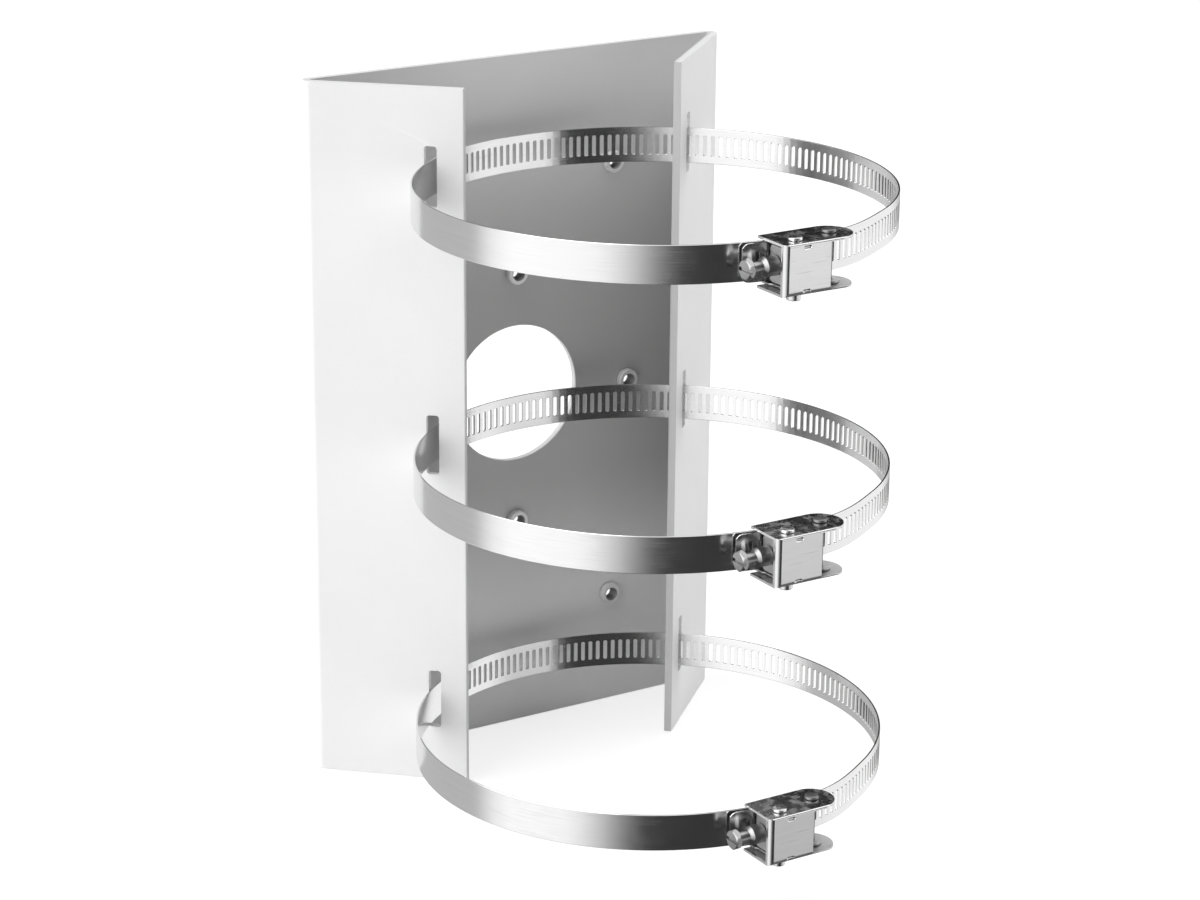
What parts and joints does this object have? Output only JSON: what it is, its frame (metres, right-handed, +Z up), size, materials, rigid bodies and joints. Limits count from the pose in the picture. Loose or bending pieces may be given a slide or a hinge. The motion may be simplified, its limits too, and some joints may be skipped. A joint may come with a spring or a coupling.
{
  "type": "camera pole mount bracket",
  "caption": "Folded sheet bracket that carries a camera on a pole, held by quick-release worm-drive band clamps through slots in its flanges.",
  "frame": {"origin": "middle of the back plate's bottom edge, half way through the sheet", "axes": "+Z up along the pole, +X to the right seen from the pole, +Y from the pole to the back plate"},
  "size_m": [0.1868, 0.2119, 0.282],
  "materials": {
    "bracket_paint": "satin light grey paint",
    "nut_steel": "zinc-plated",
    "band_steel": "bright rolled stainless",
    "saddle_steel": "bright stainless",
    "housing_steel": "bright stainless",
    "pin_steel": "bright stainless",
    "screw_steel": "bright plated"
  },
  "bodies": {
    "mount": {"bracket": "bracket_paint", "clinch_nut_1": "nut_steel", "clinch_nut_2": "nut_steel", "clinch_nut_3": "nut_steel", "clinch_nut_4": "nut_steel", "clinch_nut_5": "nut_steel", "clinch_nut_6": "nut_steel", "clinch_nut_7": "nut_steel", "clinch_nut_8": "nut_steel", "bottom_band": "band_steel", "bottom_saddle": "saddle_steel", "bottom_pivot_pin": "pin_steel", "middle_band": "band_steel", "middle_saddle": "saddle_steel", "middle_pivot_pin": "pin_steel", "top_band": "band_steel", "top_saddle": "saddle_steel", "top_pivot_pin": "pin_steel"},
    "bottom_housing_body": {"bottom_housing": "housing_steel", "bottom_latch_pin": "pin_steel"},
    "bottom_screw_body": {"bottom_screw": "screw_steel"},
    "middle_housing_body": {"middle_housing": "housing_steel", "middle_latch_pin": "pin_steel"},
    "middle_screw_body": {"middle_screw": "screw_steel"},
    "top_housing_body": {"top_housing": "housing_steel", "top_latch_pin": "pin_steel"},
    "top_screw_body": {"top_screw": "screw_steel"}
  },
  "joints": [
    {"name": "bottom_housing_swing", "type": "hinge", "parent": "mount", "child": "bottom_housing_body", "pos_m": [0.0083, -0.2019, 0.031], "axis": [0, 0, 1], "range_deg": [0, 80]},
    {"name": "bottom_screw_turn", "type": "hinge", "parent": "bottom_housing_body", "child": "bottom_screw_body", "pos_m": [0, -0.20035, 0.031], "axis": [1, 0, 0], "continuous": true},
    {"name": "middle_housing_swing", "type": "hinge", "parent": "mount", "child": "middle_housing_body", "pos_m": [0.0083, -0.2019, 0.1391], "axis": [0, 0, 1], "range_deg": [0, 80]},
    {"name": "middle_screw_turn", "type": "hinge", "parent": "middle_housing_body", "child": "middle_screw_body", "pos_m": [0, -0.20035, 0.1391], "axis": [1, 0, 0], "continuous": true},
    {"name": "top_housing_swing", "type": "hinge", "parent": "mount", "child": "top_housing_body", "pos_m": [0.0083, -0.2019, 0.2458], "axis": [0, 0, 1], "range_deg": [0, 80]},
    {"name": "top_screw_turn", "type": "hinge", "parent": "top_housing_body", "child": "top_screw_body", "pos_m": [0, -0.20035, 0.2458], "axis": [1, 0, 0], "continuous": true}
  ]
}
